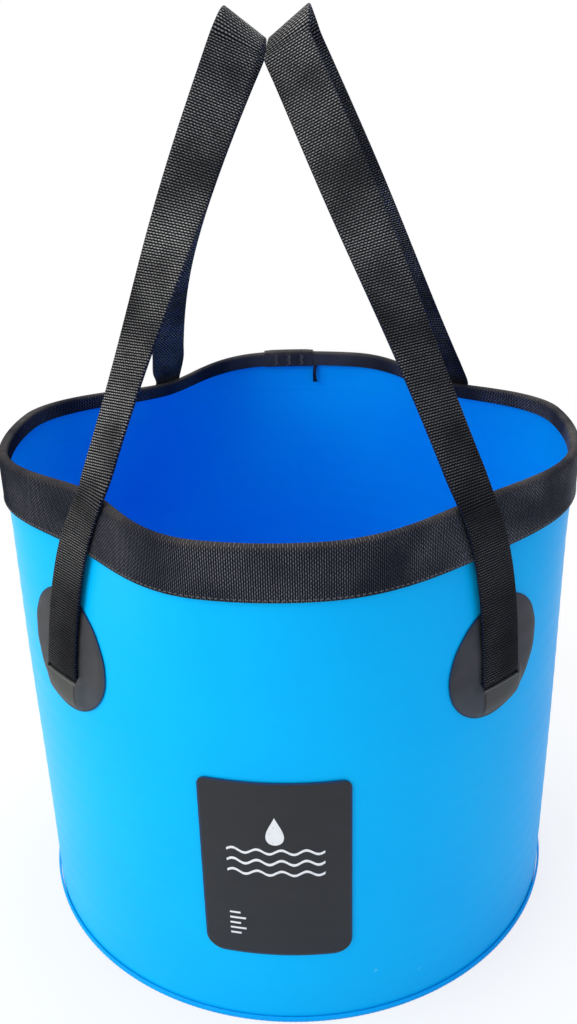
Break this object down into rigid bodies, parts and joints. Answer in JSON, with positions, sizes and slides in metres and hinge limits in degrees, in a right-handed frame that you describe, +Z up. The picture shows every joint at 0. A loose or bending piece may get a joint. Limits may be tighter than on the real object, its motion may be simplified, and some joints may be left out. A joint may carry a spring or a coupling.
{
  "type": "collapsible camp bucket",
  "caption": "Round soft-walled bucket that folds flat, with a webbing-bound rim and two webbing strap handles held in oval welded patches.",
  "frame": {"origin": "middle of the bucket's underside, on the surface it stands on", "axes": "+Z up, -Y towards the side with the label panel, X across from handle to handle"},
  "size_m": [0.2614, 0.2627, 0.4065],
  "materials": {
    "wall_pvc": "coated fabric, satin outside and glossy inside",
    "base_pvc": "coated fabric, glossy",
    "webbing": "black woven webbing",
    "patch": "matte dark grey coated fabric",
    "label": "satin dark grey film"
  },
  "bodies": {
    "base": {"wall": "wall_pvc", "wall_seam_lap": "wall_pvc", "base_sheet": "base_pvc", "base_weld_edge": "base_pvc", "label_panel": "label"},
    "rim": {"wall_hem": "wall_pvc", "rim_binding": "webbing", "rim_binding_lap": "webbing"},
    "anchors": {"left_front_patch": "patch", "left_back_patch": "patch", "right_front_patch": "patch", "right_back_patch": "patch", "left_front_strap_tail": "webbing", "left_back_strap_tail": "webbing", "right_front_strap_tail": "webbing", "right_back_strap_tail": "webbing"},
    "left_legs": {"left_front_strap_leg": "webbing", "left_back_strap_leg": "webbing"},
    "left_loop": {"left_handle_loop": "webbing"},
    "right_legs": {"right_front_strap_leg": "webbing", "right_back_strap_leg": "webbing"},
    "right_loop": {"right_handle_loop": "webbing"}
  },
  "joints": [
    {"name": "rim_collapse", "type": "slide", "parent": "base", "child": "rim", "axis": [0, 0, -1], "range_m": [0, 0.18], "deforming": ["wall", "wall_seam_lap", "label_panel"]},
    {"name": "patches_follow", "type": "slide", "parent": "base", "child": "anchors", "axis": [0, 0, -1], "range_m": [0, 0.1356]},
    {"name": "left_handle_swing", "type": "hinge", "parent": "anchors", "child": "left_legs", "pos_m": [-0.09758, 0, 0.15805], "axis": [0, -1, 0], "range_deg": [0, 95]},
    {"name": "left_handle_droop", "type": "hinge", "parent": "left_legs", "child": "left_loop", "pos_m": [-0.07812, 0, 0.23225], "axis": [0, -1, 0], "range_deg": [0, 24]},
    {"name": "right_handle_swing", "type": "hinge", "parent": "anchors", "child": "right_legs", "pos_m": [0.0981, 0, 0.15805], "axis": [0, 1, 0], "range_deg": [0, 95]},
    {"name": "right_handle_droop", "type": "hinge", "parent": "right_legs", "child": "right_loop", "pos_m": [0.08939, 0, 0.23225], "axis": [0, 1, 0], "range_deg": [0, 24]}
  ],
  "couplings": [
    {"joint": "patches_follow", "follows": "rim_collapse", "ratio": 0.7529},
    {"joint": "left_handle_droop", "follows": "left_handle_swing", "ratio": 0.25},
    {"joint": "right_handle_droop", "follows": "right_handle_swing", "ratio": 0.25}
  ]
}
